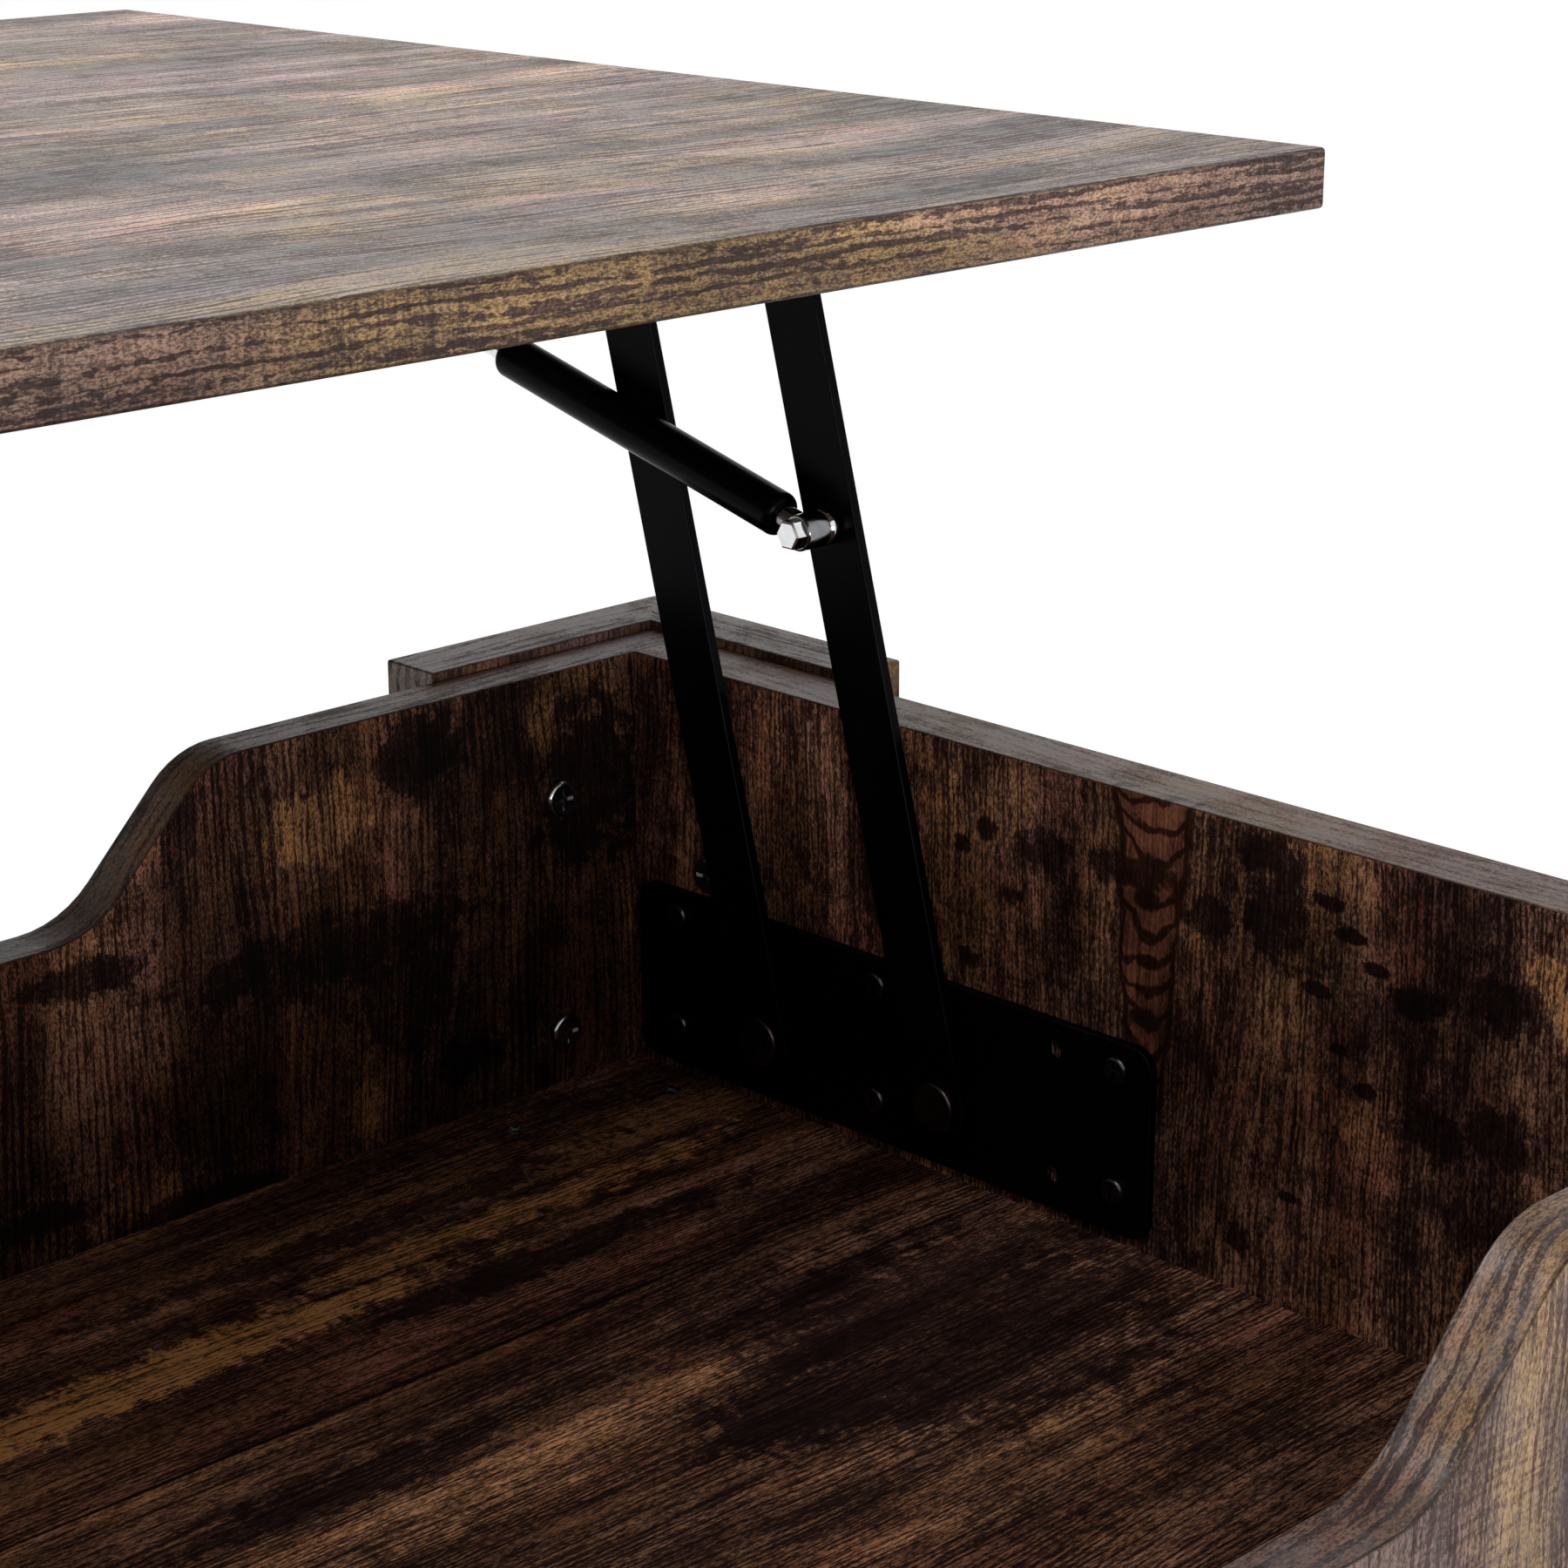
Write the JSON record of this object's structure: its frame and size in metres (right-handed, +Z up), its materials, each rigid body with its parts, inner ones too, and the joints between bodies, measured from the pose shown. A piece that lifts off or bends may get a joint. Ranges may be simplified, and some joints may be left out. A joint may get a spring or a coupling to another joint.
{
  "type": "lift top coffee table",
  "caption": "Coffee table with a shallow storage tray, an open shelf and a top that rises and comes forward on gas-assisted parallel arms to table height for a seated person.",
  "frame": {"origin": "on the floor, under the middle of the raised table's outline", "axes": "+Z up, +X along the length of the table, -Y towards the person who sits at it and the way the top comes forward"},
  "size_m": [1, 0.7514, 0.5634],
  "materials": {
    "tabletop_board": "weathered plank print, matt, grain along the length",
    "side_panel_board": "weathered plank print, matt",
    "end_panel_board": "weathered plank print, matt, upright grain",
    "post_board": "weathered plank print, matt, upright grain",
    "tray_floor_board": "weathered plank print, matt, grain along the length",
    "shelf_board": "weathered plank print, matt, grain along the length",
    "shelf_rail_board": "weathered plank print, matt, grain along the rail",
    "batten_wood": "plain planed wood",
    "black_steel": "gloss black enamel",
    "strut_black": "gloss black enamel",
    "rivet_steel": "dull zinc",
    "screw_steel": "bright zinc",
    "chrome": "polished chrome",
    "glide_plastic": "matt"
  },
  "bodies": {
    "table_frame": {"front_panel": "side_panel_board", "back_panel": "side_panel_board", "tray_floor": "tray_floor_board", "side_battens": "batten_wood", "end_battens": "batten_wood", "lower_shelf": "shelf_board", "foot_glides": "glide_plastic", "side_panel_bolts": "screw_steel", "end_frame_bolts": "screw_steel", "tray_floor_screws": "screw_steel", "shelf_screws": "screw_steel", "side_batten_screws": "screw_steel", "end_batten_screws": "screw_steel", "base_plate_screws": "screw_steel", "front_left_post_side_board": "post_board", "front_right_post_side_board": "post_board", "back_left_post_side_board": "post_board", "back_right_post_side_board": "post_board", "front_left_post_end_board": "post_board", "front_right_post_end_board": "post_board", "back_left_post_end_board": "post_board", "back_right_post_end_board": "post_board", "left_end_panel": "end_panel_board", "right_end_panel": "end_panel_board", "left_shelf_rail": "shelf_rail_board", "right_shelf_rail": "shelf_rail_board", "left_base_plate": "black_steel", "right_base_plate": "black_steel", "lower_pivot_rivets": "rivet_steel", "lower_pivot_washers": "rivet_steel"},
    "top_assembly": {"left_top_bracket": "black_steel", "left_bracket_stud": "chrome", "left_rod_eye": "strut_black", "right_top_bracket": "black_steel", "right_bracket_stud": "chrome", "right_rod_eye": "strut_black", "tabletop": "tabletop_board", "bracket_screws": "screw_steel", "upper_pivot_rivets": "rivet_steel", "upper_pivot_washers": "rivet_steel", "bracket_stud_collars": "chrome", "bracket_stud_nuts": "chrome"},
    "left_rear_link": {"left_rear_arm": "black_steel", "left_arm_stud": "chrome", "left_arm_stud_collar": "chrome", "left_arm_stud_nut": "chrome"},
    "left_front_link": {"left_front_arm": "black_steel"},
    "left_strut_tube": {"left_strut_barrel": "strut_black", "left_strut_gland": "strut_black", "left_strut_eye": "strut_black"},
    "left_strut_piston": {"left_strut_rod": "chrome"},
    "right_rear_link": {"right_rear_arm": "black_steel", "right_arm_stud": "chrome", "right_arm_stud_collar": "chrome", "right_arm_stud_nut": "chrome"},
    "right_front_link": {"right_front_arm": "black_steel"},
    "right_strut_tube": {"right_strut_barrel": "strut_black", "right_strut_gland": "strut_black", "right_strut_eye": "strut_black"},
    "right_strut_piston": {"right_strut_rod": "chrome"}
  },
  "joints": [
    {"name": "lift", "type": "hinge", "parent": "table_frame", "child": "left_rear_link", "pos_m": [-0.4285, 0.07573, 0.3145], "axis": [1, 0, 0], "range_deg": [-82.9, 0]},
    {"name": "top_level", "type": "hinge", "parent": "left_rear_link", "child": "top_assembly", "pos_m": [-0.4285, 0.01788, 0.53193], "axis": [1, 0, 0], "range_deg": [0, 82.9]},
    {"name": "right_rear_arm_pivot", "type": "hinge", "parent": "table_frame", "child": "right_rear_link", "pos_m": [0.4285, 0.07573, 0.3145], "axis": [1, 0, 0], "range_deg": [-82.9, 0]},
    {"name": "left_front_arm_pivot", "type": "hinge", "parent": "table_frame", "child": "left_front_link", "pos_m": [-0.4285, 0.00973, 0.3145], "axis": [1, 0, 0], "range_deg": [-82.9, 0]},
    {"name": "right_front_arm_pivot", "type": "hinge", "parent": "table_frame", "child": "right_front_link", "pos_m": [0.4285, 0.00973, 0.3145], "axis": [1, 0, 0], "range_deg": [-82.9, 0]},
    {"name": "left_strut_pivot", "type": "hinge", "parent": "left_rear_link", "child": "left_strut_tube", "pos_m": [-0.419, 0.03588, 0.46429], "axis": [1, 0, 0], "range_deg": [0, 89.04]},
    {"name": "left_strut_stroke", "type": "slide", "parent": "left_strut_tube", "child": "left_strut_piston", "axis": [0, 0.9682, -0.25], "range_m": [0, 0.09199]},
    {"name": "right_strut_pivot", "type": "hinge", "parent": "right_rear_link", "child": "right_strut_tube", "pos_m": [0.419, 0.03588, 0.46429], "axis": [1, 0, 0], "range_deg": [0, 89.04]},
    {"name": "right_strut_stroke", "type": "slide", "parent": "right_strut_tube", "child": "right_strut_piston", "axis": [0, 0.9682, -0.25], "range_m": [0, 0.09199]}
  ],
  "couplings": [
    {"joint": "top_level", "follows": "lift", "ratio": -1},
    {"joint": "right_rear_arm_pivot", "follows": "lift", "ratio": 1},
    {"joint": "left_front_arm_pivot", "follows": "lift", "ratio": 1},
    {"joint": "right_front_arm_pivot", "follows": "lift", "ratio": 1},
    {"joint": "left_strut_pivot", "follows": "lift", "ratio": -1.0741},
    {"joint": "left_strut_stroke", "follows": "lift", "m_per_rad": -0.063576},
    {"joint": "right_strut_pivot", "follows": "lift", "ratio": -1.0741},
    {"joint": "right_strut_stroke", "follows": "lift", "m_per_rad": -0.063576}
  ]
}
